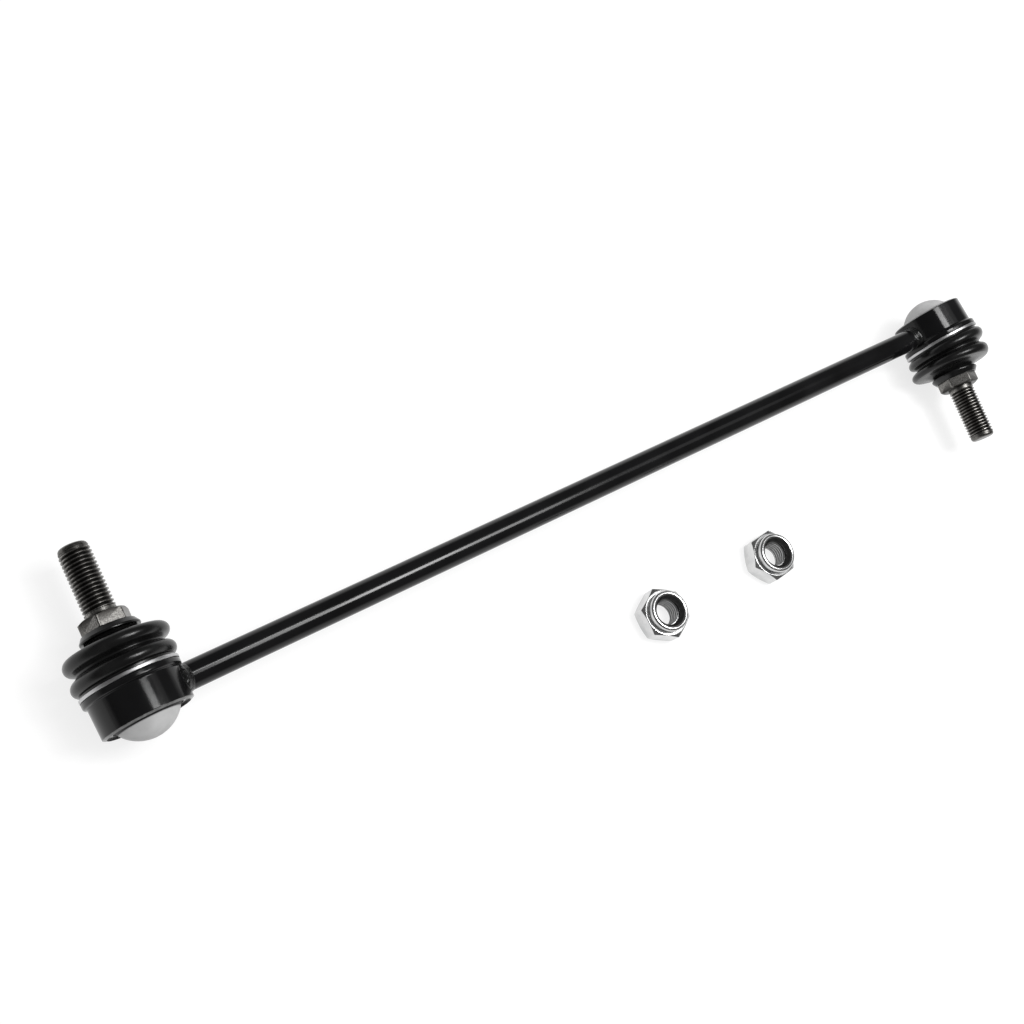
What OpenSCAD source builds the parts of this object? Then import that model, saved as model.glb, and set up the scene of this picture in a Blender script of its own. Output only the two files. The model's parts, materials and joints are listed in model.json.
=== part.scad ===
// Stabilizer link: a round steel rod with a ball joint welded to each end, and two lock nuts beside it.
// The rod runs along X, the left stud points to +Y and the right stud to -Y, and the link lies on its side.
// The origin is the centre of the left stud's seating face. All sizes are in millimetres.

/* [Link] */
// Distance between the two ball centres
link_length = 357; // [260:1:400]
// Diameter of the straight rod
rod_d = 8.8; // [7.4:0.1:10]
// Lean of the left stud towards the rod, in degrees
left_lean = 2.4; // [0:0.1:10]
// Lean of the right stud towards the rod, in degrees
right_lean = 8.5; // [0:0.1:10]
// Turn of the left stud about its own axis, in degrees
left_spin = 6; // [-30:1:30]
// Turn of the right stud about its own axis, in degrees
right_spin = -23; // [-30:1:30]
// Largest swing of a stud away from its housing's axis, in degrees
swing = 22; // [15:1:24]

/* [Housing] */
// Outside diameter of the ball housing
housing_d = 28.6; // [27.2:0.2:30.4]
// Distance from the rod's axis to the crimped rim
rim_drop = 6.8; // [6.4:0.1:7.2]
// Width of the rim's face around the cap
rim_w = 3.3; // [2.9:0.1:3.5]
// Thickness of the rim that is rolled over the cap
rim_t = 0.85; // [0.6:0.05:1]
// Radius of the rim's rolled corner
rim_round = 1.2; // [0.7:0.1:1.5]
// How far the lip that carries the boot's clamp ring stands out of the housing
lip_step = 1.1; // [0.9:0.1:1.5]
// Distance from the rod's axis to the lip's upper face
lip_top = 5.8; // [5.4:0.1:6.2]
// Height of the spigot that the boot grips
spigot_h = 1.9; // [1.6:0.1:2.2]
// Height of the weld around the rod's end
weld_t = 0.95; // [0.6:0.05:1.2]
// Length of the weld along the rod
weld_l = 2; // [1.8:0.1:2.6]

/* [End cap] */
// Gap between the rim and the dome where it leaves the cap's flange
dome_gap = 0.6; // [0.4:0.1:1]
// Height of the dome below the cap's flange
dome_h = 6.2; // [5.8:0.1:6.6]
// Thickness of the cap's flange
cap_t = 1.2; // [1:0.1:1.4]
// Thickness of the pressed sheet
sheet_t = 1; // [0.7:0.1:1.1]

/* [Ball stud] */
// Diameter of the ball
ball_d = 16; // [15.4:0.2:16.6]
// Diameter of the neck above the ball
neck_d = 9.2; // [8.4:0.2:9.6]
// Diameter of the plain land that the boot seals on
land_d = 10.7; // [10:0.1:11]
// Height of the hex collar's seating face above the ball centre
seat_h = 27.1; // [26:0.1:28.4]
// Width across the hex collar's flats
collar_af = 14; // [13:0.5:15]
// Height of the hex collar
collar_h = 4.1; // [3.4:0.1:5]
// Nominal diameter of the stud's thread
thread_d = 10; // [8:1:10]
// Length of the threaded shank
thread_l = 22.8; // [15:0.1:27]
// Length of the chamfer at the stud's tip
tip = 1; // [0.6:0.1:1.4]

/* [Boot] */
// Diameter over the boot's two folds
boot_d = 32.7; // [32.3:0.1:34]
// Radius of the boot's round folds
fold = 2.25; // [1.9:0.05:2.4]
// Distance between the two folds along the stud
fold_step = 6.2; // [5.7:0.1:6.5]
// Depth of the groove between the folds
groove = 2.7; // [2.3:0.1:3.1]
// Thickness of the boot's rubber
wall = 1.2; // [1:0.1:1.3]
// Diameter of the black retainer disc above the boot
disc_d = 18.8; // [17.6:0.2:20]
// Thickness of the retainer disc
disc_t = 2.2; // [1.7:0.1:2.5]
// Thickness of the retainer disc's edge
disc_edge = 0.75; // [0.5:0.05:1]
// Width of the clamp ring along the housing's axis
band_w = 1.1; // [0.9:0.05:1.3]

/* [Lock nuts] */
// Width across the nut's flats
nut_af = 17; // [16:0.5:18]
// Height of the nut with its collar
nut_h = 10; // [9.4:0.1:11]
// Height of the nut's hex
nut_hex_h = 7; // [6.6:0.1:7.4]
// Thickness of the collar's wall around the insert
nut_wall = 1.15; // [0.9:0.05:1.4]
// Pitch of the thread
pitch = 1.25; // [1:0.25:1.5]
// Place of the left nut, along X and Y
left_nut_at = [178.7, -77.5]; // [-400:0.1:400]
// Turn of the left nut about its own axis, in degrees
left_nut_turn = 30; // [0:1:60]
// Place of the right nut, along X and Y
right_nut_at = [232.9, -77.5]; // [-400:0.1:400]
// Turn of the right nut about its own axis, in degrees
right_nut_turn = 6; // [0:1:60]

/* [Fits] */
// Radial gap between the ball and its seat
ball_gap = 0.1; // [0.05:0.01:0.15]
// Gap between pieces that are pressed or clamped together
press_gap = 0.05; // [0.02:0.01:0.1]
// Radial gap between the boot or disc and the stud's land
land_gap = 0.3; // [0.2:0.05:0.5]
// Gap between the boot, the disc and the hex collar along the stud
stack_gap = 0.12; // [0.05:0.01:0.2]
// Gap around the neck at the largest swing
mouth_gap = 0.5; // [0.4:0.1:0.8]

/* [Hidden] */
$fn = 96;
rod_r = rod_d / 2;
housing_r = housing_d / 2;
lip_r = housing_r + lip_step;
crimp_r = housing_r - rim_w;
ball_r = ball_d / 2;
neck_r = neck_d / 2;
land_r = land_d / 2;
thread_r = thread_d / 2;
disc_r = disc_d / 2;

// The left stud's seating face is at the origin, so its ball centre lies back along the leaned stud
left_ball = [-seat_h * sin(left_lean), -seat_h * cos(left_lean), 0];
right_ball = left_ball + [link_length, 0, 0];

// The cap's flange sits on a ledge and the rim is rolled over it
ledge_w = 0.85;
bore_step = 0.5;
bore_r = crimp_r + bore_step;
cap_r = bore_r + ledge_w;
cap_low = -rim_drop + rim_t;
ledge_z = cap_low + cap_t;
dome_foot = crimp_r - dome_gap;
dome_r = (pow(dome_foot, 2) + pow(dome_h, 2)) / (2 * dome_h);
dome_low = cap_low - dome_h;
dome_z = dome_low + dome_r;

// The seat fills the bore between the cap and the housing's shoulder
shoulder_drop = 0.4;
shoulder_z = lip_top - shoulder_drop;
spigot_step = 2.35;
spigot_top = lip_top + spigot_h;
spigot_r = lip_r - spigot_step;
mouth_low = 1.7;
mouth_h = 7;
grease_r = 2;
grease_l = 5;

// The mouth clears the neck at the largest swing
function mouth_r(z) = neck_r / cos(swing) + z * tan(swing) + mouth_gap;
function arc(r, z, size, from, to, steps) =
    [for (i = [0 : steps]) let (a = from + (to - from) * i / steps) [r + size * cos(a), z + size * sin(a)]];
function smooth(t) = let (u = min(1, max(0, t))) u * u * (3 - 2 * u);

// Housing wall from the rim's opening, up the outside, to the mouth
edge = 0.35;
lip_round = 0.75;
flare_low = lip_top - 2.6;
flare_h = 0.5;
flare_w = 0.3;
housing_outside = concat(
    [[crimp_r, -rim_drop + edge], [crimp_r + edge, -rim_drop]],
    arc(housing_r - rim_round, -rim_drop + rim_round, rim_round, -90, 0, 6),
    [[housing_r, flare_low], [housing_r + flare_w, flare_low + flare_h]],
    arc(lip_r - lip_round, lip_top - lip_round - edge, lip_round, -60, 0, 4),
    arc(lip_r - edge, lip_top - edge, edge, 0, 90, 3),
    [
        [spigot_r, lip_top],
        [spigot_r, spigot_top - edge],
        [spigot_r - edge, spigot_top],
        [mouth_r(spigot_top), spigot_top]
    ]
);
housing_inside = [
    [mouth_r(shoulder_z), shoulder_z],
    [bore_r, shoulder_z],
    [bore_r, ledge_z],
    [cap_r, ledge_z],
    [cap_r, cap_low],
    [crimp_r, cap_low]
];

// Heights along the stud
collar_low = seat_h - collar_h;
disc_top = collar_low - stack_gap;
disc_low = disc_top - disc_t;
boot_top = disc_low - stack_gap;
land_l = 5.8;
land_flare = 2.5;
land_low = boot_top - land_l;
neck_top = land_low - land_flare;
stud_top = seat_h + thread_l;
collar_r = collar_af / 2 / cos(30);
collar_face_r = 0.475 * collar_af;

// The boot is clamped on the spigot, has two round folds and closes on the land
bead_t = 1.2;
bead_gap = 0.2;
bead_h = 1.35;
bead_rise = 1.75;
bead_in = spigot_r + bead_gap;
bead_r = bead_in + bead_t;
boot_low = lip_top + 2 * press_gap;
fold_r = boot_d / 2 - fold;
fold1_z = boot_low + fold + bead_rise;
fold2_z = fold1_z + fold_step;
groove_z = (fold1_z + fold2_z) / 2;
groove_r = boot_d / 2 - groove;
groove_in = groove_r - wall;
collar_in = land_r + land_gap;
lean_from = spigot_top;
lean_to = boot_top - 1.8;
boot_profile = concat(
    [[bead_in, boot_low], [bead_r, boot_low], [bead_r, boot_low + bead_h]],
    arc(fold_r, fold1_z, fold, -80, 80, 8),
    [[groove_r + 0.3, groove_z - 0.45], [groove_r, groove_z], [groove_r + 0.3, groove_z + 0.45]],
    arc(fold_r, fold2_z, fold, -80, 60, 7),
    [
        [fold_r - 1.2, fold2_z + fold + 0.1],
        [fold_r - 3.8, boot_top - 1.65],
        [collar_in + 3.3, boot_top - 0.85],
        [collar_in + 2.7, boot_top - 0.4],
        [collar_in + 2.6, boot_top],
        [collar_in, boot_top],
        [collar_in, boot_top - 1.7],
        [collar_in + 2.2, boot_top - 1.8],
        [fold_r - 4.3, boot_top - 2.85],
        [fold_r - 1.6, fold2_z + 1.1]
    ],
    arc(fold_r, fold2_z, fold - wall, 70, -80, 5),
    [[groove_in + 0.25, groove_z + 0.85], [groove_in, groove_z], [groove_in + 0.25, groove_z - 0.85]],
    arc(fold_r, fold1_z, fold - wall, 80, -80, 5),
    [[bead_in + 0.25, spigot_top + 0.5], [bead_in, spigot_top + 0.25]]
);

// Lock nut
nut_r = nut_af / 2 / cos(30);
nut_face_r = 0.488 * nut_af;
nut_bore_r = thread_r - 0.5413 * pitch;
nut_collar_r = 0.44 * nut_af;
pocket_r = nut_collar_r - nut_wall;
pocket_z = nut_hex_h + 0.45;
insert_in = thread_r - 0.25;
floor_z = -boot_d / 2;

black = [0.05, 0.05, 0.055];
rubber = [0.08, 0.08, 0.08];
zinc = [0.62, 0.63, 0.64];
bright = [0.82, 0.82, 0.83];
phosphate = [0.2, 0.19, 0.18];
plastic = [0.86, 0.85, 0.8];

// Puts a joint drawn with its stud along Z at the left or the right end
module at_left() {
    translate(left_ball) rotate([-90, 0, 0]) children();
}
module at_right() {
    translate(right_ball) rotate([90, 0, 0]) children();
}

// A stud and its disc lean about the ball centre, towards the joint's own +X
module leaned(angle) {
    rotate([0, angle, 0]) children();
}

// Cone that takes the 30 degree chamfer off a hex's corners
module chamfer_cone(h, face_r) {
    cylinder(h = h, r1 = face_r + h * tan(60), r2 = face_r);
}

module housing_solid() {
    rotate_extrude() polygon(concat([[0, -rim_drop + edge]], housing_outside, [[0, spigot_top]]));
}
module housing() {
    color(black) rotate_extrude() polygon(concat(housing_outside, housing_inside));
}

// Rod, cut to a saddle where it meets each housing
module rod() {
    color(black) difference() {
        translate(left_ball) rotate([0, 90, 0]) cylinder(h = link_length, r = rod_r);
        at_left() housing_solid();
        at_right() housing_solid();
    }
}

// Weld around the rod's end, with the rod leaving along X
module weld_bead() {
    start = crimp_r;
    end = housing_r + weld_l;
    color(black) difference() {
        rotate([0, 90, 0]) rotate_extrude() polygon([
            [rod_r, start],
            [rod_r + weld_t, start],
            [rod_r + weld_t, end - 1.6],
            [rod_r + 0.7 * weld_t, end - 0.9],
            [rod_r + 0.35 * weld_t, end - 0.35],
            [rod_r + 0.12, end],
            [rod_r, end]
        ]);
        housing_solid();
    }
}

// Pressed cap: a flange under the rim and a dome that stands out of it
module end_cap() {
    color(zinc) difference() {
        union() {
            translate([0, 0, cap_low]) cylinder(h = cap_t, r = cap_r - press_gap);
            intersection() {
                translate([0, 0, dome_z]) sphere(r = dome_r);
                translate([0, 0, dome_low - 1]) cylinder(h = dome_h + 1.2, r = dome_foot + 1);
            }
        }
        translate([0, 0, dome_z]) sphere(r = dome_r - sheet_t);
    }
}

// Plastic seat that wraps the ball above and below its middle
module ball_seat() {
    color(plastic) difference() {
        union() {
            translate([0, 0, ledge_z + press_gap])
                cylinder(h = shoulder_z - ledge_z - 2 * press_gap, r = bore_r - press_gap);
            intersection() {
                translate([0, 0, dome_z]) sphere(r = dome_r - sheet_t - press_gap);
                translate([0, 0, dome_low]) cylinder(h = ledge_z + 0.5 - dome_low, r = bore_r - ledge_w);
            }
        }
        sphere(r = ball_r + ball_gap);
        translate([0, 0, mouth_low])
            cylinder(h = mouth_h, r1 = mouth_r(mouth_low), r2 = mouth_r(mouth_low + mouth_h));
        translate([0, 0, dome_low - 1]) cylinder(h = grease_l, r = grease_r);
    }
}

// Ball, neck, land and threaded shank turned in one, with the hex collar
module ball_stud() {
    color(phosphate) union() {
        sphere(r = ball_r);
        rotate_extrude() polygon([
            [0, 0],
            [neck_r, 0],
            [neck_r, neck_top],
            [land_r, land_low],
            [land_r, collar_low + 1],
            [thread_r, collar_low + 1],
            [thread_r, stud_top - tip],
            [thread_r - 0.85 * tip, stud_top],
            [0, stud_top]
        ]);
        intersection() {
            translate([0, 0, collar_low]) cylinder(h = collar_h, r = collar_r, $fn = 6);
            translate([0, 0, collar_low - 1]) chamfer_cone(collar_h + 1, collar_face_r);
        }
    }
}

module clamp_ring() {
    low = lip_top + press_gap;
    high = low + band_w;
    inner = bead_r + press_gap;
    outer = lip_r + 0.1;
    bevel = 0.12;
    color(bright) rotate_extrude() polygon([
        [inner, low],
        [outer - bevel, low],
        [outer, low + bevel],
        [outer, high - bevel],
        [outer - bevel, high],
        [inner, high]
    ]);
}

module retainer_disc() {
    bevel = 0.22;
    color(black) rotate_extrude() polygon([
        [collar_in, disc_low],
        [disc_r - bevel, disc_low],
        [disc_r, disc_low + bevel],
        [disc_r, disc_low + disc_edge],
        [collar_r, disc_top],
        [collar_in, disc_top]
    ]);
}

// Bellows boot. Upright it is a plain turning. Leaned, each ring turns a little more about the ball centre
module boot(lean) {
    color(rubber)
        if (lean == 0)
            rotate_extrude() polygon(boot_profile);
        else
            leaned_boot(lean);
}
module leaned_boot(lean) {
    around = 48;
    rings = len(boot_profile);
    points = [
        for (p = boot_profile)
            for (k = [0 : around - 1])
                let (
                    a = 360 * k / around,
                    t = lean * smooth((p[1] - lean_from) / (lean_to - lean_from)),
                    x = p[0] * cos(a)
                )
                [x * cos(t) + p[1] * sin(t), p[0] * sin(a), p[1] * cos(t) - x * sin(t)]
    ];
    faces = [
        for (i = [0 : rings - 1])
            for (k = [0 : around - 1])
                let (
                    j = (i + 1) % rings,
                    n = (k + 1) % around,
                    a = i * around + k,
                    b = i * around + n,
                    c = j * around + n,
                    d = j * around + k
                )
                each [[a, d, c], [a, c, b]]
    ];
    polyhedron(points = points, faces = faces, convexity = 6);
}

// Hex nut with a round rolled collar that holds the plastic insert; drawn standing on its lower face
module lock_nut() {
    roll = 1;
    countersink = 1.2;
    color(bright) difference() {
        union() {
            intersection() {
                cylinder(h = nut_hex_h, r = nut_r, $fn = 6);
                translate([0, 0, -1]) chamfer_cone(nut_hex_h + 1, nut_face_r);
                translate([0, 0, nut_hex_h + 1]) rotate([180, 0, 0]) chamfer_cone(nut_hex_h + 1, nut_face_r);
            }
            rotate_extrude() polygon(concat(
                [[0, nut_hex_h - 1], [nut_collar_r, nut_hex_h - 1]],
                arc(nut_collar_r - roll, nut_h - roll, roll, 0, 105, 6),
                [[0, nut_h - 0.1]]
            ));
        }
        translate([0, 0, -1]) cylinder(h = nut_h + 2, r = nut_bore_r);
        translate([0, 0, -0.4]) cylinder(h = countersink, r1 = nut_bore_r + countersink, r2 = nut_bore_r);
        translate([0, 0, pocket_z]) cylinder(h = nut_h, r = pocket_r);
    }
}

// Plastic ring whose bore narrows like a funnel
module nut_insert() {
    low = pocket_z + press_gap;
    high = nut_h - 0.3;
    outer = pocket_r - press_gap;
    color(rubber) rotate_extrude() polygon([
        [insert_in, low],
        [outer, low],
        [outer, high - 0.2],
        [outer - 0.2, high],
        [outer - 0.45, high],
        [insert_in, low + 0.9]
    ]);
}
module left_nut_place() {
    translate([left_nut_at[0], left_nut_at[1], floor_z]) rotate([0, 0, left_nut_turn]) children();
}
module right_nut_place() {
    translate([right_nut_at[0], right_nut_at[1], floor_z]) rotate([0, 0, right_nut_turn]) children();
}

rod();  // link_rod
at_left() housing();  // left_housing
at_left() weld_bead();  // left_weld_bead
at_left() end_cap();  // left_end_cap
at_left() ball_seat();  // left_ball_seat
at_left() clamp_ring();  // left_clamp_ring
at_left() boot(left_lean);  // left_boot
at_left() leaned(left_lean) retainer_disc();  // left_retainer_disc
at_left() leaned(left_lean) rotate([0, 0, left_spin]) ball_stud();  // left_ball_stud
at_right() housing();  // right_housing
at_right() rotate([0, 0, 180]) weld_bead();  // right_weld_bead
at_right() end_cap();  // right_end_cap
at_right() ball_seat();  // right_ball_seat
at_right() clamp_ring();  // right_clamp_ring
at_right() boot(-right_lean);  // right_boot
at_right() leaned(-right_lean) retainer_disc();  // right_retainer_disc
at_right() leaned(-right_lean) rotate([0, 0, right_spin]) ball_stud();  // right_ball_stud
left_nut_place() lock_nut();  // left_lock_nut
left_nut_place() nut_insert();  // left_nut_insert
right_nut_place() lock_nut();  // right_lock_nut
right_nut_place() nut_insert();  // right_nut_insert
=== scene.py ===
"""Stabilizer link: a black rod with a booted ball joint at each end, and two plated lock nuts beside it.

Pieces are modelled in millimetres with their axis along Z, and then put in place in the frame, in metres.
"""
import json
import math

import bpy
from mathutils import Matrix, Vector, noise


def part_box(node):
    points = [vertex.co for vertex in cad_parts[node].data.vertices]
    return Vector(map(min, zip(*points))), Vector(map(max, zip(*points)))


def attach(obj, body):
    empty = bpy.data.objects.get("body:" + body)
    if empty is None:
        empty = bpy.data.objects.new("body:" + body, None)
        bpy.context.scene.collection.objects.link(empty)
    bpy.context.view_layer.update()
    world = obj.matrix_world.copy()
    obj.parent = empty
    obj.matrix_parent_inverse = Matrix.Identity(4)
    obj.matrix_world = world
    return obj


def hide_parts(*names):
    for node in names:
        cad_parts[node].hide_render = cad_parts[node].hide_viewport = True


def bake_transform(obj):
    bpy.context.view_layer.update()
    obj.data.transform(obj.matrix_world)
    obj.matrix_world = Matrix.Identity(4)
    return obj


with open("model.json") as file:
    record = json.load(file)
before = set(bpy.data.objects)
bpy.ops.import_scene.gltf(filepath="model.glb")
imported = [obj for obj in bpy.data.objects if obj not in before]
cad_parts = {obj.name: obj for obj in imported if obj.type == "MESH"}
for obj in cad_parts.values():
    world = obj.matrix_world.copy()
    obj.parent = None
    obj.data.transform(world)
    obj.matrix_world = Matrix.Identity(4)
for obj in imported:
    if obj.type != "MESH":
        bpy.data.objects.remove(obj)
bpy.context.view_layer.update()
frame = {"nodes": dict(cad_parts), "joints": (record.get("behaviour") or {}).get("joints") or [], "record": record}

MM = 0.001
ENDS = ("left", "right")
joints = {joint["name"]: joint for joint in frame["joints"]}
mounts = {mount["name"]: mount for mount in frame["record"]["mounts"]}
ball_at = {end: Vector(joints[f"{end}_turn"]["pos_m"]) for end in ENDS}
housing_axis = {end: Vector(joints[f"{end}_turn"]["axis"]) for end in ENDS}
stud_axis = {end: Vector(joints[f"{end}_spin"]["axis"]) for end in ENDS}
middle = (ball_at["left"] + ball_at["right"]) / 2
link_length = (ball_at["right"] - ball_at["left"]).length / MM
floor_z = min(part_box("left_boot")[0].z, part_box("left_lock_nut")[0].z)


def reach(node):
    """Lowest and highest corner of a node of the left joint, in millimetres from its ball centre"""
    low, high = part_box(node)
    return (low - ball_at["left"]) / MM, (high - ball_at["left"]) / MM


def corner_radius(flats):
    """Radius to the corners of a hexagon of this width across its flats"""
    return flats / 2 / math.cos(math.radians(30))


# Sizes read off the frame. At the left joint X is a radius and Y a height along the housing's axis
lip_r = reach("left_housing")[1].x
rim_z = reach("left_housing")[0].y
spigot_z = reach("left_housing")[1].y
rod_r = reach("link_rod")[1].z
ring_r = reach("left_clamp_ring")[1].x
ring_low = reach("left_clamp_ring")[0].y
ring_high = reach("left_clamp_ring")[1].y
flange_r = reach("left_end_cap")[1].x
flange_top = reach("left_end_cap")[1].y
dome_low = reach("left_end_cap")[0].y
boot_r = reach("left_boot")[1].z
boot_low = reach("left_boot")[0].y
disc_r = reach("left_retainer_disc")[1].z
ball_r = reach("left_ball_stud")[1].z
seat_z = (Vector(mounts["left_stud"]["pos_m"]) - ball_at["left"]).length / MM
thread_r = mounts["left_stud"]["dims"]["r_mm"]
thread_length = mounts["left_stud"]["dims"]["length_mm"]
nut_bore_r = mounts["left_nut_thread"]["dims"]["r_mm"]
nut_top = (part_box("left_lock_nut")[1].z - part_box("left_lock_nut")[0].z) / MM

# Faces around a turned piece, and the gap at which its corners merge
AROUND = 128
MERGE = 0.002

# Clearance of a piece that sits in another, and overlap of parts that make one piece
FIT = 0.05
OVERLAP = 1.0

# Housing, in millimetres. Its rolled rim has a sloping lip around a sunk face
LIP_STEP = 1.1
RIM_WIDTH = 3.3
RIM_THICKNESS = 0.85
RIM_LIP = 1.3
RIM_SLOPE = 0.4
RIM_SINK = 0.6
RIM_ROUND = 0.35
EDGE = 0.3
BORE_WALL = 2.8
MOUTH_R = 8.6
housing_r = lip_r - LIP_STEP
lip_z = ring_low - FIT
rim_in_r = housing_r - RIM_WIDTH
rim_lip_r = housing_r - RIM_LIP

# End cap. Painted shade: its flange and the foot of its dome are painted black, to a line just outside the rim,
# where the rim's recess shades them
DOME_GAP = 0.6
SHEET = 1.0
SHADE_LINE = 0.3
SHADE_FADE = 0.15

# Boot, along the housing's axis
FOLD = 2.25
FOLD_STEP = 6.2
FIRST_FOLD = 1.75
GROOVE = 2.7
BOOT_WALL = 1.2
RING_STEP = 1.05
bead_r = ring_r - RING_STEP
fold_r = boot_r - FOLD
fold1_z = boot_low + FOLD + FIRST_FOLD
fold2_z = fold1_z + FOLD_STEP
groove_z = (fold1_z + fold2_z) / 2

# Ball stud, along the stud's axis
COLLAR_FLATS = 14.0
COLLAR_HEIGHT = 4.1
DISC_HEIGHT = 2.2
STACK_GAP = 0.12
NECK_R = 4.6
LAND_R = 5.35
LAND_GAP = 0.3
PITCH = 1.25
DEPTH_PER_PITCH = 0.6134
CREST_DROP = 0.03
TIP = 1.0
SHANK = 1.3
STUD_TURN = {"left": 6, "right": -23}
collar_low = seat_z - COLLAR_HEIGHT
disc_top = collar_low - STACK_GAP
disc_low = disc_top - DISC_HEIGHT
boot_top = disc_low - STACK_GAP
stud_top = seat_z + thread_length + TIP
collar_corner_r = corner_radius(COLLAR_FLATS)
thread_depth = DEPTH_PER_PITCH * PITCH
crest_r = thread_r - CREST_DROP

# The boot leans with its stud between these two heights, and its neck grips the stud above them
NECK_GRIP = 1.8
lean_from = spigot_z
lean_to = boot_top - NECK_GRIP

# Lock nuts, standing on their plain face
NUT_FLATS = 17.0
NUT_HEX_TOP = 7.0
NUT_COLLAR_R = 7.48
NUT_WALL = 1.15
INSERT_LOW = 7.5
NUT_TURN = {"left": 30, "right": 6}
nut_corner_r = corner_radius(NUT_FLATS)
pocket_r = NUT_COLLAR_R - NUT_WALL


# Making pieces

def arc(radius, height, size, start, end, steps):
    """Points of a round corner about (radius, height), with its angles in degrees"""
    angles = [math.radians(start + (end - start) * step / steps) for step in range(steps + 1)]
    return [(radius + size * math.cos(a), height + size * math.sin(a)) for a in angles]


def start_outline(name, points):
    """Draws (radius, height) points in the XZ plane, corner after corner, and stays in edit mode"""
    bpy.ops.object.select_all(action="DESELECT")
    bpy.ops.mesh.primitive_plane_add(size=1)
    bpy.context.object.name = name
    bpy.ops.object.mode_set(mode="EDIT")
    bpy.ops.mesh.merge(type="CENTER")
    bpy.ops.transform.translate(value=(points[0][0], 0, points[0][1]))
    for here, there in zip(points, points[1:]):
        step = (there[0] - here[0], 0, there[1] - here[1])
        bpy.ops.mesh.extrude_vertices_move(TRANSFORM_OT_translate={"value": step})
    bpy.ops.mesh.select_all(action="SELECT")
    return bpy.context.object


def weld_mesh(threshold=MERGE):
    """Merges corners that coincide, turns the faces outwards and leaves edit mode"""
    bpy.ops.mesh.select_all(action="SELECT")
    bpy.ops.mesh.remove_doubles(threshold=threshold)
    bpy.ops.mesh.dissolve_degenerate(threshold=threshold / 4)
    bpy.ops.mesh.delete_loose(use_verts=True, use_edges=True, use_faces=False)
    bpy.ops.mesh.select_all(action="SELECT")
    bpy.ops.mesh.normals_make_consistent(inside=False)
    bpy.ops.object.mode_set(mode="OBJECT")


def turned(name, points, around=AROUND):
    """Turns a closed outline of (radius, height) points about Z"""
    piece = start_outline(name, points + points[:1])
    bpy.ops.mesh.spin(steps=around, angle=math.tau, center=(0, 0, 0), axis=(0, 0, 1))
    weld_mesh()
    return piece


def only(piece):
    """Makes a piece the one selected and active"""
    bpy.ops.object.select_all(action="DESELECT")
    piece.select_set(True)
    bpy.context.view_layer.objects.active = piece


def modified(piece, kind, **settings):
    """Adds a modifier with these settings and applies it"""
    only(piece)
    modifier = piece.modifiers.new(kind.lower(), kind)
    for setting, value in settings.items():
        setattr(modifier, setting, value)
    bpy.ops.object.modifier_apply(modifier=modifier.name)
    return piece


def cut(piece, tool, operation):
    """Joins, cuts or crosses a piece with a tool, which is used up"""
    modified(piece, "BOOLEAN", object=tool, operation=operation, solver="EXACT")
    bpy.data.objects.remove(tool)
    return piece


def softened(piece, width, angle):
    """Rounds a piece's edges a little where they are sharper than an angle in degrees"""
    return modified(piece, "BEVEL", width=width, segments=2, limit_method="ANGLE",
                    angle_limit=math.radians(angle), use_clamp_overlap=True, harden_normals=False)


def joined(name, *parts):
    """Makes one piece of several closed parts"""
    only(parts[0])
    for part in parts:
        part.select_set(True)
    bpy.ops.object.join()
    parts[0].name = name
    return parts[0]


def hexagon(name, flats, low, high, corner):
    """A hexagonal bar with rounded corners, one of them along X"""
    bpy.ops.object.select_all(action="DESELECT")
    bpy.ops.mesh.primitive_cylinder_add(vertices=6, radius=corner_radius(flats), depth=high - low,
                                        location=(0, 0, (low + high) / 2), rotation=(0, 0, math.radians(30)))
    piece = bpy.context.object
    piece.name = name
    bpy.ops.object.transform_apply(location=True, rotation=True, scale=True)
    bpy.ops.object.mode_set(mode="EDIT")
    bpy.ops.mesh.select_mode(type="EDGE")
    bpy.ops.mesh.select_all(action="DESELECT")
    bpy.ops.object.mode_set(mode="OBJECT")
    for edge in piece.data.edges:
        ends = [piece.data.vertices[index].co.z for index in edge.vertices]
        edge.select = abs(ends[0] - ends[1]) > (high - low) / 2
    bpy.ops.object.mode_set(mode="EDIT")
    bpy.ops.mesh.bevel(offset=corner, segments=3)
    bpy.ops.mesh.select_mode(type="VERT")
    bpy.ops.object.mode_set(mode="OBJECT")
    return piece


def threaded(name, outer_r, depth, low, high, around=64):
    """A right-hand threaded bar with flat ends"""
    root_r = outer_r - depth
    flank = depth * math.tan(math.radians(30))
    crest = PITCH / 8
    root = PITCH - crest - 2 * flank
    turns = math.ceil((high - low) / PITCH) + 3
    start = low - 1.5 * PITCH
    piece = start_outline(name, [
        (root_r, start),
        (root_r, start + root),
        (outer_r, start + root + flank),
        (outer_r, start + root + flank + crest),
        (root_r, start + PITCH),
    ])
    bpy.ops.object.mode_set(mode="OBJECT")
    modified(piece, "SCREW", axis="Z", angle=math.tau, screw_offset=PITCH, iterations=turns,
             steps=around, render_steps=around)
    bpy.ops.object.mode_set(mode="EDIT")
    bpy.ops.mesh.select_all(action="SELECT")
    bpy.ops.mesh.remove_doubles(threshold=MERGE)
    bpy.ops.mesh.select_all(action="SELECT")
    bpy.ops.mesh.bisect(plane_co=(0, 0, low), plane_no=(0, 0, 1), use_fill=True, clear_inner=True)
    bpy.ops.mesh.select_all(action="SELECT")
    bpy.ops.mesh.bisect(plane_co=(0, 0, high), plane_no=(0, 0, 1), use_fill=True, clear_outer=True)
    weld_mesh()
    return piece


def marked(piece, mark, share):
    """Notes on each corner of a piece how much of a mark it carries"""
    amounts = piece.data.attributes.new(mark, "FLOAT", "POINT")
    for corner, amount in zip(piece.data.vertices, amounts.data):
        amount.value = share(corner.co.xy.length, corner.co.z)
    return piece


# Putting pieces in place

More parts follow.
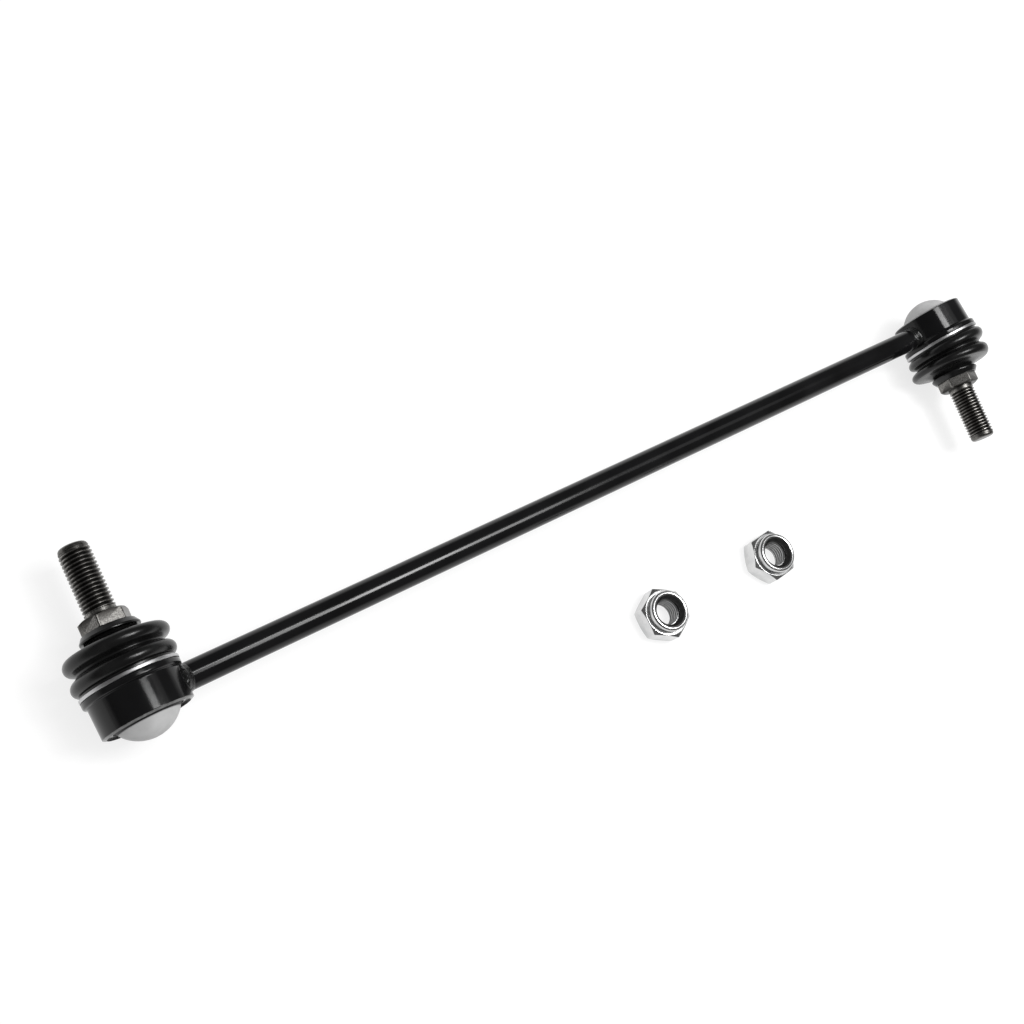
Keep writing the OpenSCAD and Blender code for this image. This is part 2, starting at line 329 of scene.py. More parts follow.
def stand(origin, along):
    """Place of a piece drawn along Z: its axis along the given one, its X near the rod's X"""
    x = Vector((1, 0, 0))
    y = along.cross(x).normalized()
    turn = Matrix((y.cross(along), y, along)).transposed().to_4x4()
    return Matrix.Translation(origin) @ turn @ Matrix.Scale(MM, 4)


def turn_about(axis, degrees):
    """A turn about one of the piece's own axes"""
    return Matrix.Rotation(math.radians(degrees), 4, axis)


def settle(piece, place, smooth=32):
    """Moves a finished piece to its place, into its mesh, and smooths its edges but not its large faces"""
    only(piece)
    piece.matrix_world = place
    bpy.ops.object.transform_apply(location=True, rotation=True, scale=True)
    bpy.ops.object.shade_smooth_by_angle(angle=math.radians(smooth))
    modified(piece, "WEIGHTED_NORMAL", mode="FACE_AREA", weight=50, keep_sharp=True)


def another(piece, name):
    """A copy of a piece with a mesh of its own"""
    only(piece)
    bpy.ops.object.duplicate()
    copy = bpy.context.object
    copy.name = name
    return copy


def pair(piece, name):
    """The same piece for both ends"""
    piece.name = f"left_{name}"
    return {"left": piece, "right": another(piece, f"right_{name}")}


def hand_over(piece, node, body, finish):
    """Lets a piece stand for its CAD node, ride on its body and take its finish"""
    piece.data.materials.clear()
    piece.data.materials.append(finish)
    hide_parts(node)
    if body:
        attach(piece, body)


# Finishes

def new_finish(name, metallic, specular=0.5):
    """A new material, its node tree and its main shader"""
    material = bpy.data.materials.new(name)
    material.use_nodes = True
    tree = material.node_tree
    shader = tree.nodes["Principled BSDF"]
    shader.inputs["Metallic"].default_value = metallic
    shader.inputs["Specular IOR Level"].default_value = specular
    return material, tree, shader


def grey(level):
    """A neutral colour"""
    return (level, level, level)


def grain(tree, scale, detail=3.0, stretch=(1, 1, 1), distortion=0.0):
    """Noise on object coordinates, in cells per metre"""
    where = tree.nodes.new("ShaderNodeTexCoord")
    mapping = tree.nodes.new("ShaderNodeMapping")
    mapping.inputs["Scale"].default_value = stretch
    texture = tree.nodes.new("ShaderNodeTexNoise")
    texture.inputs["Scale"].default_value = scale
    texture.inputs["Detail"].default_value = detail
    texture.inputs["Distortion"].default_value = distortion
    tree.links.new(where.outputs["Object"], mapping.inputs["Vector"])
    tree.links.new(mapping.outputs["Vector"], texture.inputs["Vector"])
    return texture.outputs["Fac"]


def carried(tree, mark):
    """The amount of a mark that the mesh carries"""
    attribute = tree.nodes.new("ShaderNodeAttribute")
    attribute.attribute_name = mark
    return attribute.outputs["Fac"]


def tone(tree, factor, dark, light, start=0.3, end=0.7):
    """Colour that runs from dark to light with a factor"""
    ramp = tree.nodes.new("ShaderNodeValToRGB")
    ramp.color_ramp.elements[0].position = start
    ramp.color_ramp.elements[0].color = (*dark, 1)
    ramp.color_ramp.elements[1].position = end
    ramp.color_ramp.elements[1].color = (*light, 1)
    tree.links.new(factor, ramp.inputs["Fac"])
    return ramp.outputs["Color"]


def deep_black(tree, factor):
    """Black of rubber and satin coatings"""
    return tone(tree, factor, grey(0.004), grey(0.009))


def spread(tree, factor, low, high, start=0.3, end=0.7):
    """Number that runs from low to high with a factor"""
    span = tree.nodes.new("ShaderNodeMapRange")
    span.inputs["From Min"].default_value = start
    span.inputs["From Max"].default_value = end
    span.inputs["To Min"].default_value = low
    span.inputs["To Max"].default_value = high
    tree.links.new(factor, span.inputs["Value"])
    return span.outputs["Result"]


def combined(tree, operation, first, second):
    """Number made of two others"""
    step = tree.nodes.new("ShaderNodeMath")
    step.operation = operation
    tree.links.new(first, step.inputs[0])
    tree.links.new(second, step.inputs[1])
    return step.outputs["Value"]


def mixed(tree, mark, without, covered):
    """Colour that changes where the mesh carries a mark"""
    mix = tree.nodes.new("ShaderNodeMix")
    mix.data_type = "RGBA"
    tree.links.new(carried(tree, mark), mix.inputs["Factor"])
    tree.links.new(without, mix.inputs["A"])
    tree.links.new(covered, mix.inputs["B"])
    return mix.outputs["Result"]


def dress(tree, shader, colour, roughness):
    """Gives a shader its colour and its roughness"""
    tree.links.new(colour, shader.inputs["Base Color"])
    tree.links.new(roughness, shader.inputs["Roughness"])


def relief(tree, shader, factor, strength, depth=0.0001):
    """Fine relief from a factor, with its depth in metres"""
    bump = tree.nodes.new("ShaderNodeBump")
    bump.inputs["Strength"].default_value = strength
    bump.inputs["Distance"].default_value = depth
    tree.links.new(factor, bump.inputs["Height"])
    tree.links.new(bump.outputs["Normal"], shader.inputs["Normal"])


def black_coat():
    """Glossy black coating with a faint orange peel, and a lighter grey painted on the rim's lip as a painted
    highlight
    """
    material, tree, shader = new_finish("black coat", metallic=0.0, specular=0.3)
    cloud = grain(tree, 70)
    peel = grain(tree, 900, detail=2)
    lip_grain = grain(tree, 700, detail=4)
    black = tone(tree, cloud, (0.003, 0.003, 0.0032), (0.007, 0.007, 0.0074))
    # Painted highlight: a lighter grey for the rim's lip
    lip_grey = tone(tree, lip_grain, grey(0.05), grey(0.16))
    dress(tree, shader, mixed(tree, "worn", black, lip_grey), spread(tree, cloud, 0.11, 0.17))
    relief(tree, shader, peel, 0.04)
    return material


def weld_coat():
    """The same coating over the rough skin of a weld"""
    material, tree, shader = new_finish("coated weld", metallic=0.0, specular=0.4)
    spatter = grain(tree, 1500, detail=5, distortion=0.6)
    black = tone(tree, spatter, grey(0.003), grey(0.012))
    dress(tree, shader, black, spread(tree, spatter, 0.16, 0.34))
    relief(tree, shader, spatter, 0.5, depth=0.0003)
    return material


def boot_rubber():
    """Satin black rubber with a fine moulded grain"""
    material, tree, shader = new_finish("boot rubber", metallic=0.0, specular=0.35)
    cloud = grain(tree, 140)
    skin = grain(tree, 2600, detail=2)
    dress(tree, shader, deep_black(tree, cloud), spread(tree, cloud, 0.22, 0.30))
    relief(tree, shader, skin, 0.12)
    return material


def disc_black():
    """Satin black coating on the pressed disc"""
    material, tree, shader = new_finish("disc black", metallic=0.0, specular=0.35)
    cloud = grain(tree, 400)
    speck = grain(tree, 2200)
    dress(tree, shader, deep_black(tree, cloud), spread(tree, cloud, 0.14, 0.22))
    relief(tree, shader, speck, 0.08)
    return material


def zinc_sheet():
    """Matte grey zinc on the pressed cap, with painted shade in black where the rim's recess shades it"""
    material, tree, shader = new_finish("zinc sheet", metallic=0.2)
    cloud = grain(tree, 180, detail=4)
    speck = grain(tree, 3200, detail=2)
    zinc = tone(tree, cloud, grey(0.54), grey(0.63))
    # Painted shade: black in the rim's recess, on the flange and the dome's foot
    colour = mixed(tree, "coated", zinc, deep_black(tree, cloud))
    dress(tree, shader, colour, spread(tree, speck, 0.48, 0.60))
    relief(tree, shader, speck, 0.10)
    return material


def bright_ring():
    """Bright spring steel, drawn along its round"""
    material, tree, shader = new_finish("bright ring", metallic=1.0)
    drawn = grain(tree, 500, stretch=(1, 14, 1))
    steel = tone(tree, drawn, (0.44, 0.44, 0.445), (0.64, 0.64, 0.645))
    dress(tree, shader, steel, spread(tree, drawn, 0.32, 0.46))
    relief(tree, shader, drawn, 0.1)
    return material


def stud_phosphate():
    """Dark phosphate on the stud, with painted highlights along its crests, its tip and its collar's corners"""
    material, tree, shader = new_finish("stud phosphate", metallic=1.0)
    speck = grain(tree, 2400, detail=4)
    glint_with_speck = combined(tree, "MULTIPLY", carried(tree, "rubbed"), spread(tree, speck, 0.2, 1.1))
    # Painted highlight: lighter metal on the crests, the tip and the collar's corners
    colour = tone(tree, glint_with_speck, (0.022, 0.0205, 0.019), (0.44, 0.43, 0.41), 0.0, 1.0)
    dress(tree, shader, colour, spread(tree, glint_with_speck, 0.36, 0.30, 0.0, 1.0))
    relief(tree, shader, speck, 0.15)
    return material


def nut_zinc():
    """Bright zinc plating with a faint cloud in its shine"""
    material, tree, shader = new_finish("nut zinc", metallic=1.0)
    cloud = grain(tree, 320, detail=4)
    speck = grain(tree, 2600, detail=2)
    zinc = tone(tree, cloud, (0.58, 0.585, 0.59), (0.70, 0.70, 0.695))
    dress(tree, shader, zinc, spread(tree, cloud, 0.16, 0.26))
    relief(tree, shader, speck, 0.06)
    return material


def insert_nylon():
    """Black nylon with a slightly uneven skin"""
    material, tree, shader = new_finish("insert nylon", metallic=0.0)
    cloud = grain(tree, 900)
    dress(tree, shader, tone(tree, cloud, grey(0.008), grey(0.018)), spread(tree, cloud, 0.34, 0.48))
    relief(tree, shader, cloud, 0.15)
    return material


def seat_plastic():
    """Natural acetal"""
    material, tree, shader = new_finish("seat plastic", metallic=0.0)
    cloud = grain(tree, 300)
    acetal = tone(tree, cloud, (0.68, 0.66, 0.60), (0.78, 0.76, 0.70))
    dress(tree, shader, acetal, spread(tree, cloud, 0.35, 0.5))
    return material


# The link's rod and joints

def make_rod():
    """Round bar that ends inside the two housings' walls"""
    inside = 1.2
    low = housing_r - inside
    high = link_length - housing_r + inside
    chamfer = 0.4
    return turned("bar", [
        (0, low),
        (rod_r - chamfer, low),
        (rod_r, low + chamfer),
        (rod_r, link_length / 2),
        (rod_r, high - chamfer),
        (rod_r - chamfer, high),
        (0, high),
    ])


def make_housing():
    """Turned cup with a rolled rim, a plain wall, a lip under the clamp ring and a spigot for the boot"""
    bore_r = housing_r - BORE_WALL
    spigot_r = bead_r - 1.3
    cap_r = flange_r + FIT
    mouth_in_r = MOUTH_R - 1.0
    shoulder_z = lip_z - 0.4
    wall_top = lip_z - 2.6
    lip_middle = lip_z - 1.25
    lip_round = 0.9
    hollow = 0.5
    crest = 0.15
    sunk_face = [(rim_in_r, rim_z + RIM_SINK), (rim_lip_r, rim_z + RIM_SINK)]
    rim = (
        arc(rim_lip_r + crest, rim_z + crest, crest, 180, 245, 4)
        + arc(housing_r - RIM_ROUND, rim_z + RIM_SLOPE + RIM_ROUND, RIM_ROUND, -65, 0, 8)
    )
    lip = (
        [(housing_r, wall_top)]
        + arc(housing_r + hollow, wall_top, hollow, 180, 120, 4)
        + arc(lip_r - lip_round, lip_middle, lip_round, -60, 0, 8)
        + arc(lip_r - EDGE, lip_z - EDGE, EDGE, 0, 90, 4)
    )
    spigot = [(spigot_r, lip_z), (spigot_r, spigot_z - EDGE), (spigot_r - EDGE, spigot_z)]
    mouth = [(MOUTH_R, spigot_z), (mouth_in_r, shoulder_z), (bore_r, shoulder_z), (bore_r, flange_top)]
    rim_groove = [(cap_r, flange_top), (cap_r, rim_z + RIM_THICKNESS), (rim_in_r, rim_z + RIM_THICKNESS)]
    # The rim's lip carries a painted highlight
    return marked(turned("housing", sunk_face + rim + lip + spigot + mouth + rim_groove), "worn", highlighted_lip)


def highlighted_lip(radius, height):
    """A painted highlight on the rim's lip, not on the sunk face or its edge"""
    inner_edge = 0.03
    on_lip = height < rim_z + RIM_SLOPE + RIM_ROUND / 2
    return 1 if on_lip and radius > rim_lip_r + inner_edge else 0


def make_weld():
    """Lumpy fillet around the rod where it meets the round housing, with the rod along Z"""
    leg_rod = 2.0
    leg_wall = 1.2
    bury = 1.4
    overlap = 0.3
    # The fillet's hollow face, from the wall to the rod, in shares of its two legs
    hollow = ((1, 0), (0.62, 0.22), (0.34, 0.5), (0.12, 0.8), (0, 1))
    piece = turned("weld", (
        [(rod_r - overlap, housing_r - bury), (rod_r + leg_wall, housing_r - bury)]
        + [(rod_r + leg_wall * out, housing_r + leg_rod * along) for out, along in hollow]
        + [(rod_r - overlap, housing_r + leg_rod)]
    ), around=64)
    modified(piece, "SUBSURF", levels=2, render_levels=2)
    lump = 0.3
    lumps_per_mm = 0.7
    ripple = 0.22
    ripples = 17
    for corner in piece.data.vertices:
        x, y, z = corner.co
        radius = math.hypot(x, y)
        turn = math.atan2(y, x)
        # The housing falls away to the sides, and the weld follows it
        z += math.sqrt(housing_r ** 2 - x ** 2) - housing_r
        swell = noise.noise(Vector((x, y, z)) * lumps_per_mm) + ripple * math.sin(ripples * turn)
        grow = 1 + lump * swell * max(0, radius - rod_r) / leg_wall
        outer = rod_r + (radius - rod_r) * grow if radius > rod_r else radius
        corner.co = (x * outer / radius, y * outer / radius, z)
    return piece


def make_cap():
    """Pressed cap: a flange under the rolled rim and a dome that stands out of it"""
    foot_r = rim_in_r - DOME_GAP
    foot_z = rim_z + RIM_THICKNESS
    flare = 0.25
    height = foot_z - dome_low
    dome_r = (foot_r ** 2 + height ** 2) / (2 * height)
    centre = dome_low + dome_r
    half = math.degrees(math.asin(foot_r / dome_r))
    inner_half = math.degrees(math.asin((foot_r - SHEET) / (dome_r - SHEET)))
    cap = turned("cap", (
        arc(0, centre, dome_r, -90, -90 + half, 48)
        + [(foot_r + flare, foot_z), (flange_r, foot_z), (flange_r, flange_top), (foot_r - SHEET, flange_top)]
        + arc(0, centre, dome_r - SHEET, -90 + inner_half, -90, 12)
    ))
    # Painted shade on the cap's flange and dome foot, in the rim's recess
    return marked(cap, "coated", shaded_foot)


def shaded_foot(radius, height):
    """Painted shade: black over the flange and the foot of the dome, where the rim's recess shades them"""
    return min(1, max(0, (height - rim_z + SHADE_LINE) / SHADE_FADE))


def make_ring():
    """Flat clamp ring with rounded edges"""
    edge = 0.2
    inner = bead_r + FIT
    return turned("ring", (
        [(inner, ring_low)]
        + arc(ring_r - edge, ring_low + edge, edge, -90, 0, 4)
        + arc(ring_r - edge, ring_high - edge, edge, 0, 90, 4)
        + [(inner, ring_high)]
    ))


def make_boot():
    """Bellows boot, drawn upright: a clamped bead, two round folds and a neck that closes on the stud"""
    grip_r = bead_r - 1.2
    bead_top = boot_low + 1.3
    groove_r = boot_r - GROOVE
    groove_round = 0.55
    groove_in_r = groove_r - BOOT_WALL
    fold_in = FOLD - BOOT_WALL
    neck_r = LAND_R + LAND_GAP
    bead = [(grip_r, boot_low), (bead_r, boot_low), (bead_r, bead_top)]
    folds = (
        arc(fold_r, fold1_z, FOLD, -78, 72, 18)
        + arc(groove_r + groove_round, groove_z, groove_round, 235, 125, 6)
        + arc(fold_r, fold2_z, FOLD, -72, 62, 18)
    )
    shoulder = [
        (fold_r - 1.2, fold2_z + FOLD + 0.06),
        (fold_r - 2.5, boot_top - 2.0),
        (fold_r - 3.8, boot_top - 1.6),
        (neck_r + 3.3, boot_top - 0.85),
        (neck_r + 2.8, boot_top - 0.45),
        (neck_r + 2.6, boot_top - 0.1),
    ]
    neck = [(neck_r + 2.5, boot_top), (neck_r, boot_top), (neck_r, boot_top - 1.7)]
    lining = (
        [(neck_r + 2.2, boot_top - 1.85), (fold_r - 4.3, boot_top - 2.85), (fold_r - 1.6, fold2_z + 1.1)]
        + arc(fold_r, fold2_z, fold_in, 70, -80, 8)
        + [(groove_in_r + 0.2, groove_z + 0.8), (groove_in_r, groove_z), (groove_in_r + 0.2, groove_z - 0.8)]
        + arc(fold_r, fold1_z, fold_in, 80, -80, 8)
        + [(grip_r + 0.2, spigot_z + 0.5), (grip_r, spigot_z + 0.25)]
    )
    return turned("boot", bead + folds + shoulder + neck + lining)


def lean(piece, angle):
    """Leans an upright boot towards X with its stud: each ring turns a little more about the ball centre"""
    for corner in piece.data.vertices:
        x, y, z = corner.co
        share = min(1, max(0, (z - lean_from) / (lean_to - lean_from)))
        turn = angle * share * share * (3 - 2 * share)
        corner.co = (x * math.cos(turn) + z * math.sin(turn), y, z * math.cos(turn) - x * math.sin(turn))


def make_disc():
    """Cupped disc: a sharp edge and a cone that rises to the hex collar"""
    edge_height = 0.75
    edge = 0.16
    ease = 0.1
    inner = LAND_R + LAND_GAP
    return turned("disc", (
        [(inner, disc_low)]
        + arc(disc_r - edge, disc_low + edge, edge, -90, 0, 4)
        + arc(disc_r - edge, disc_low + edge_height - edge, edge, 0, 60, 3)
        + [(collar_corner_r + 3 * ease, disc_top - ease), (collar_corner_r, disc_top), (inner, disc_top)]
    ))


def stud_core():
    """Ball, neck and land, up into the hex collar"""
    fillet = 0.9
    fillet_foot = 0.6
    cone = 2.5
    neck_low = math.sqrt(ball_r ** 2 - (NECK_R + fillet_foot) ** 2)
    ball_end = math.degrees(math.asin(neck_low / ball_r))
    land_height = 5.8
    land_low = boot_top - land_height
    top = collar_low + OVERLAP
    return turned("core", (
        arc(0, 0, ball_r, -90, ball_end, 40)
        + arc(NECK_R + fillet, neck_low + 1.0, fillet, 220, 180, 4)
        + [(NECK_R, land_low - cone), (LAND_R, land_low), (LAND_R, top), (0, top)]
    ))


def hex_collar():
    """Hex collar, chamfered on its outer face and eased on its inner one"""
    face_r = 0.475 * COLLAR_FLATS
    proud = 0.3
    chamfer = (collar_corner_r - face_r + proud) * math.tan(math.radians(30))
    collar = hexagon("collar", COLLAR_FLATS, collar_low, seat_z, corner=0.35)
    cut(collar, turned("collar blank", [
        (0, collar_low - 0.2),
        (collar_corner_r - 0.25, collar_low - 0.2),
        (collar_corner_r + proud, collar_low + proud),
        (collar_corner_r + proud, seat_z - chamfer),
        (face_r, seat_z),
        (0, seat_z),
    ]), "INTERSECT")
    return softened(collar, 0.07, angle=18)


def plain_shank():
    """Plain start of the shank, narrowing into the thread's root"""
    plain_r = crest_r - 0.12
    plain_top = seat_z + SHANK
    run_out = 0.7
    return turned("shank", [
        (0, seat_z - OVERLAP),
        (plain_r, seat_z - OVERLAP),
        (plain_r, plain_top),
        (crest_r - thread_depth, plain_top + run_out),
        (0, plain_top + run_out),
    ])


def tapered_thread():
    """Thread of the shank, with crests that fade out towards the tip"""
    thread_top = stud_top - 0.5
    thread = threaded("thread", crest_r, thread_depth, seat_z + 0.6, stud_top - TIP)
    return cut(thread, turned("taper", [
        (0, seat_z),
        (crest_r + 0.1, seat_z),
        (crest_r + 0.1, stud_top - 3.4),
        (crest_r - 0.22, stud_top - 1.8),
        (crest_r - 0.4, thread_top),
        (0, thread_top),
    ]), "INTERSECT")


def rounded_tip():
    """End of the shank beyond the thread"""
    tip_low = stud_top - 2.6
    tip_round = 1.0
    return turned("tip", (
        [(0, tip_low), (crest_r - thread_depth, tip_low)]
        + [(crest_r - 0.40, stud_top - 2.0), (crest_r - 0.42, stud_top - 1.2)]
        + arc(crest_r - 1.42, stud_top - tip_round, tip_round, 5, 90, 10)
        + [(0, stud_top)]
    ))


def make_stud():
    """Ball, neck, land and hex collar, and a shank with a real thread and a rounded tip"""
    stud = joined("stud", stud_core(), hex_collar(), plain_shank(), tapered_thread(), rounded_tip())
    # The stud carries painted highlights on its crests, tip and corners
    return marked(stud, "rubbed", glint_share)


def glint_share(radius, height):
    """Painted highlights on the thread's crests, the tip and the collar's corners; the ball is lighter too"""
    tip_share = 0.4
    ball_share = 0.6
    flat_share = 0.03
    corner_share = 0.95
    corner_width = 0.4
    crest_depth = 0.85 * thread_depth
    if height > stud_top - TIP - 0.9:
        return tip_share
    if height > seat_z + 0.2:
        return max(0, 1 - (crest_r - radius) / crest_depth)
    if height > collar_low:
        return flat_share + corner_share * max(0, 1 - (collar_corner_r - radius) / corner_width)
    return ball_share


# The lock nuts

def nut_collar():
    """Rolled collar that holds the nylon ring, still without its bore"""
    foot_r = NUT_COLLAR_R - 0.22
    foot_z = NUT_HEX_TOP - OVERLAP
    foot_round = 0.3
    roll = 1.0
    inside_top = nut_top - 0.4
    return turned("nut collar", (
        [(0, foot_z), (foot_r, foot_z), (foot_r, NUT_HEX_TOP + 0.2)]
        + arc(NUT_COLLAR_R - foot_round, NUT_HEX_TOP + 0.55, foot_round, -60, 0, 4)
        + arc(NUT_COLLAR_R - roll, nut_top - roll, roll, 0, 115, 12)
        + [(pocket_r - 0.3, inside_top), (0, inside_top)]
    ))


def nut_bore():
    """What is cut out of a nut: a countersunk bore and the nylon ring's pocket, with its edge rolled in"""
    countersink = 0.8
    pocket_low = INSERT_LOW - FIT
    rolled_r = pocket_r - 0.35
    return turned("bore", [
        (0, -OVERLAP),
        (nut_bore_r + countersink + OVERLAP, -OVERLAP),
        (nut_bore_r, countersink),
        (nut_bore_r, pocket_low),
        (pocket_r, pocket_low),
        (pocket_r, nut_top - 0.75),
        (rolled_r, nut_top - 0.3),
        (rolled_r, nut_top + OVERLAP),
        (0, nut_top + OVERLAP),
    ])


def make_nut():
    """Hex nut with chamfered ends, a rolled collar for the nylon ring and a threaded bore"""
    face_r = 0.488 * NUT_FLATS
    out_r = nut_corner_r + 0.4
    chamfer = (out_r - face_r) * math.tan(math.radians(30))
    overcut = 0.2
    tap_low = -0.4
    nut = hexagon("nut", NUT_FLATS, 0, NUT_HEX_TOP, corner=0.3)
    cut(nut, turned("nut blank", [
        (0, 0),
        (face_r, 0),
        (out_r, chamfer),
        (out_r, NUT_HEX_TOP - chamfer),
        (face_r, NUT_HEX_TOP),
        (0, NUT_HEX_TOP),
    ]), "INTERSECT")
    softened(nut, 0.08, angle=18)
    cut(nut, nut_collar(), "UNION")
    cut(nut, nut_bore(), "DIFFERENCE")
    tap = threaded("tap", nut_bore_r + thread_depth, thread_depth + overcut, tap_low, INSERT_LOW + overcut)
    return cut(nut, tap, "DIFFERENCE")


def make_insert():
    """Nylon ring whose bore narrows like a funnel"""
    outer = pocket_r - FIT
    inner = thread_r - 0.25
    high = nut_top - 0.45
    edge = 0.25
    throat = 0.2
    return turned("insert", (
        [(inner + 0.12, INSERT_LOW), (outer, INSERT_LOW), (outer, high - edge)]
        + arc(outer - edge, high - edge, edge, 0, 90, 4)
        + [(outer - 2 * edge, high), (inner + 0.15, INSERT_LOW + 1.0)]
        + arc(inner + throat, INSERT_LOW + 0.8, throat, 140, 200, 4)
    ))


# The whole object

def build_rod_and_housings(finish):
    """Rod, housings, caps, clamp rings and welds, which all ride on the link"""
    rod = make_rod()
    settle(rod, stand(ball_at["left"], Vector((0, 0, 1))) @ turn_about("Y", 90))
    hand_over(rod, "link_rod", "link", finish["black_coat"])
    models = (
        (make_housing(), "housing_shell", "housing", "black_coat"),
        (make_cap(), "pressed_cap", "end_cap", "zinc_sheet"),
        (make_ring(), "spring_ring", "clamp_ring", "bright_ring"),
    )
    for model, name, node, slot in models:
        for end, piece in pair(model, name).items():
            settle(piece, stand(ball_at[end], housing_axis[end]))
            hand_over(piece, f"{end}_{node}", "link", finish[slot])
    towards_rod = {"left": 90, "right": -90}
    for end, piece in pair(make_weld(), "weld_seam").items():
        turn = turn_about("Y", towards_rod[end]) @ turn_about("Z", 90)
        settle(piece, Matrix.Translation(ball_at[end]) @ turn @ Matrix.Scale(MM, 4), smooth=60)
        hand_over(piece, f"{end}_weld_bead", "link", finish["weld_coat"])


def build_boots_and_studs(finish):
    """Boots that bend between housing and stud, discs and studs, each stud at its own turn"""
    for end, piece in pair(make_boot(), "bellows").items():
        towards_x = stud_axis[end].x
        lean(piece, math.asin(towards_x))
        settle(piece, stand(ball_at[end], housing_axis[end]), smooth=50)
        hand_over(piece, f"{end}_boot", None, finish["boot_rubber"])
        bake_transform(piece)
    for end, piece in pair(make_disc(), "cupped_disc").items():
        settle(piece, stand(ball_at[end], stud_axis[end]))
        hand_over(piece, f"{end}_retainer_disc", f"{end}_retainer", finish["disc_black"])
    for end, piece in pair(make_stud(), "threaded_stud").items():
        settle(piece, stand(ball_at[end], stud_axis[end]) @ turn_about("Z", STUD_TURN[end]))
        hand_over(piece, f"{end}_ball_stud", f"{end}_stud", finish["stud_phosphate"])


def coat_seats(finish):
    """The ball seats, hidden in the housings, keep their CAD shape"""
    for end in ENDS:
        seat = frame["nodes"][f"{end}_ball_seat"]
        seat.data.materials.clear()
        seat.data.materials.append(finish["seat_plastic"])


def build_nuts(finish):
    """Two nuts with their nylon rings, each at its own turn"""
    models = (
        (make_nut(), "plated_nut", "lock_nut", "nut_zinc"),
        (make_insert(), "nylon_ring", "nut_insert", "insert_nylon"),
    )
    for model, name, node, slot in models:
        for end, piece in pair(model, name).items():
            low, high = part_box(f"{end}_lock_nut")
            foot = Vector(((low.x + high.x) / 2, (low.y + high.y) / 2, low.z))
            turn = turn_about("Z", NUT_TURN[end])
            settle(piece, Matrix.Translation(foot) @ turn @ Matrix.Scale(MM, 4))
            hand_over(piece, f"{end}_{node}", f"{end}_nut", finish[slot])


# Floor, light and camera, in metres

FLOOR_R = 2.2
BACKDROP = 0.6


def pale_floor():
    """White to the eye and in reflections near the object, dimmer far off, and it keeps shadows"""
    colour = 0.27
    glow = 0.76
    far_glow = 0.44
    near = 0.45
    far = 1.4
    material = bpy.data.materials.new("pale floor")
    material.use_nodes = True
    tree = material.node_tree
    tree.nodes.remove(tree.nodes["Principled BSDF"])
    paint = tree.nodes.new("ShaderNodeBsdfDiffuse")
    paint.inputs["Color"].default_value = (*grey(colour), 1)
    seen = tree.nodes.new("ShaderNodeEmission")
    path = tree.nodes.new("ShaderNodeLightPath")
    rays = combined(tree, "MAXIMUM", path.outputs["Is Camera Ray"], path.outputs["Is Glossy Ray"])
    rays = combined(tree, "MAXIMUM", rays, path.outputs["Is Transmission Ray"])
    where = tree.nodes.new("ShaderNodeTexCoord")
    distance = tree.nodes.new("ShaderNodeVectorMath")
    distance.operation = "LENGTH"
    height = tree.nodes.new("ShaderNodeSeparateXYZ")
    tree.links.new(where.outputs["Object"], distance.inputs["Vector"])
    tree.links.new(where.outputs["Object"], height.inputs["Vector"])
    level = combined(tree, "MULTIPLY",
                     spread(tree, distance.outputs["Value"], glow, far_glow, near, far),
                     spread(tree, height.outputs["Z"], 1, 0, BACKDROP / 3, BACKDROP))
    both = tree.nodes.new("ShaderNodeAddShader")
    tree.links.new(combined(tree, "MULTIPLY", rays, level), seen.inputs["Strength"])
    tree.links.new(paint.outputs["BSDF"], both.inputs[0])
    tree.links.new(seen.outputs["Emission"], both.inputs[1])
    tree.links.new(both.outputs["Shader"], tree.nodes["Material Output"].inputs["Surface"])
    return material


def lay_floor():
    """Round floor with a low rounded backdrop"""
    inner_r = 0.6
    backdrop = arc(FLOOR_R, BACKDROP, BACKDROP, -90, 0, 8)
    piece = start_outline("floor", [(0, 0), (inner_r, 0), (FLOOR_R, 0)] + backdrop[1:])
    bpy.ops.mesh.spin(steps=64, angle=math.tau, center=(0, 0, 0), axis=(0, 0, 1))
    weld_mesh(threshold=0.0005)
    piece.location = (middle.x, middle.y, floor_z)
    bpy.ops.object.shade_smooth()
    piece.data.materials.append(pale_floor())


def panel(name, at, size, bright):
    """A soft lamp that faces down, its place given from the link's middle and its sides along X and Y"""
    lamp = bpy.data.lights.new(name, "AREA")
    lamp.shape = "RECTANGLE"
    lamp.size, lamp.size_y = size
    lamp.energy = bright * math.pi * size[0] * size[1]
    holder = bpy.data.objects.new(name, lamp)
    bpy.context.scene.collection.objects.link(holder)
    holder.location = middle + Vector(at)
    holder.visible_camera = False


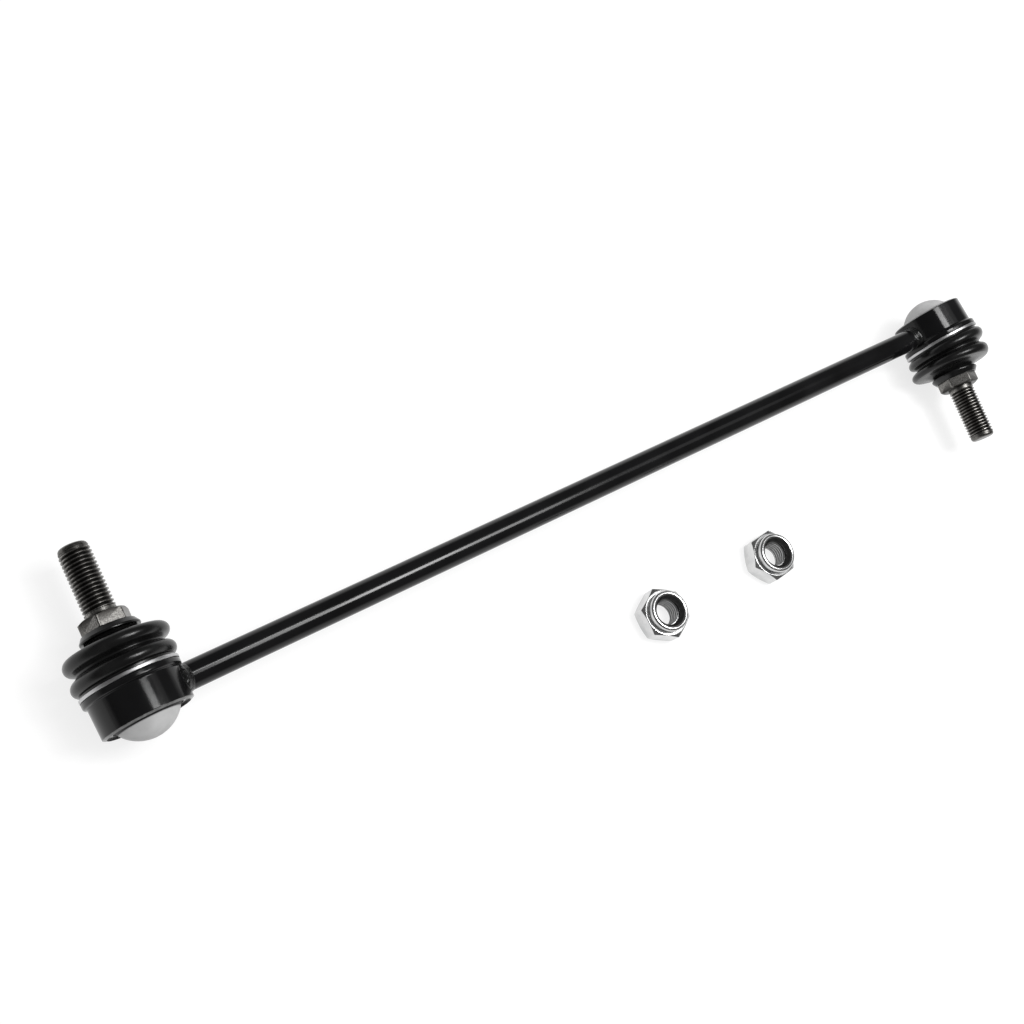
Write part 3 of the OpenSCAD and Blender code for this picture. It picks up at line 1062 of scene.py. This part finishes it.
def light_studio():
    """Soft lamps over the rod, the housings and the nuts, in a room that is soft in the shade"""
    panel("lamp over the rod", (0.333, -0.123, 0.95), (0.14, 0.30), 14)
    panel("shine around that lamp", (0.333, -0.123, 0.96), (0.46, 0.34), 9)
    panel("lamp over the left housing", (0.125, 0.143, 0.95), (0.22, 0.05), 2.4)
    panel("lamp over the right housing", (0.085, 0.076, 0.95), (0.29, 0.05), 23)
    panel("card over the nuts", (0.72, -0.05, 1.0), (0.5, 0.5), 0.6)
    dim_level = 0.12
    soft_level = 0.6
    world = bpy.data.worlds.new("studio room")
    world.use_nodes = True
    tree = world.node_tree
    # The room is dim in reflections, so that black stays black
    dim = tree.nodes["Background"]
    dim.inputs["Color"].default_value = (*grey(dim_level), 1)
    soft = tree.nodes.new("ShaderNodeBackground")
    soft.inputs["Color"].default_value = (*grey(soft_level), 1)
    path = tree.nodes.new("ShaderNodeLightPath")
    both = tree.nodes.new("ShaderNodeMixShader")
    tree.links.new(path.outputs["Is Diffuse Ray"], both.inputs["Fac"])
    tree.links.new(dim.outputs["Background"], both.inputs[1])
    tree.links.new(soft.outputs["Background"], both.inputs[2])
    tree.links.new(both.outputs["Shader"], tree.nodes["World Output"].inputs["Surface"])
    bpy.context.scene.world = world


def set_camera():
    """Camera at the photograph's place, from about 60 degrees above the floor"""
    away = Vector((-0.26672, -0.05172, 0.40546))
    aim = Vector((-0.03971, 0.00420, 0))
    up = Vector((0.3653, 0.8724, 0.3248))
    camera = bpy.data.cameras.new("camera")
    camera.lens = 48.44
    camera.sensor_width = 36
    camera.clip_start = 0.01
    holder = bpy.data.objects.new("camera", camera)
    bpy.context.scene.collection.objects.link(holder)
    back = (away - aim).normalized()
    right = up.cross(back).normalized()
    turn = Matrix((right, back.cross(right), back)).transposed().to_4x4()
    holder.matrix_world = Matrix.Translation(middle + away) @ turn
    bpy.context.scene.camera = holder


finishes = {coat.__name__: coat() for coat in (
    black_coat, weld_coat, boot_rubber, disc_black, zinc_sheet, bright_ring, stud_phosphate, nut_zinc,
    insert_nylon, seat_plastic)}
build_rod_and_housings(finishes)
build_boots_and_studs(finishes)
coat_seats(finishes)
build_nuts(finishes)
lay_floor()
light_studio()
set_camera()
bpy.context.scene.view_settings.view_transform = "Standard"
